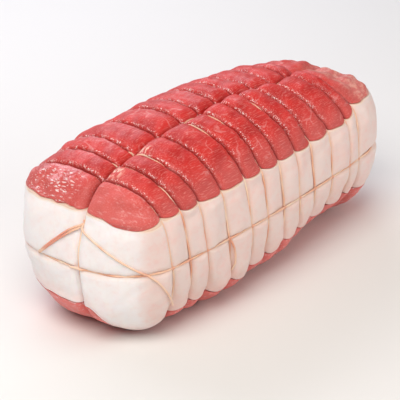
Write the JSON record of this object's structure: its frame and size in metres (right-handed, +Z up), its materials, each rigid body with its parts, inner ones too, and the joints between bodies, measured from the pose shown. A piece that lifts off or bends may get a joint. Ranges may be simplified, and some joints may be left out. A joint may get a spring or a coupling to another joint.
{
  "type": "beef roasting joint",
  "caption": "Raw beef joint: a long lean body with a belt of white fat round its sides and ends, tied with hoops of butcher's twine.",
  "frame": {"origin": "centre of the underside, on the surface the joint rests on", "axes": "+X along the length from the end with the knot to the other end, +Y across to the left side, +Z up"},
  "size_m": [0.3169, 0.1236, 0.121],
  "materials": {
    "lean": "moist raw lean beef, fine grain",
    "fat": "smooth waxy beef fat",
    "twine": "twisted cotton butcher's twine, stained by the meat"
  },
  "bodies": {
    "root": {"lean_meat": "lean", "fat_belt": "fat", "twine": "twine"}
  },
  "joints": []
}
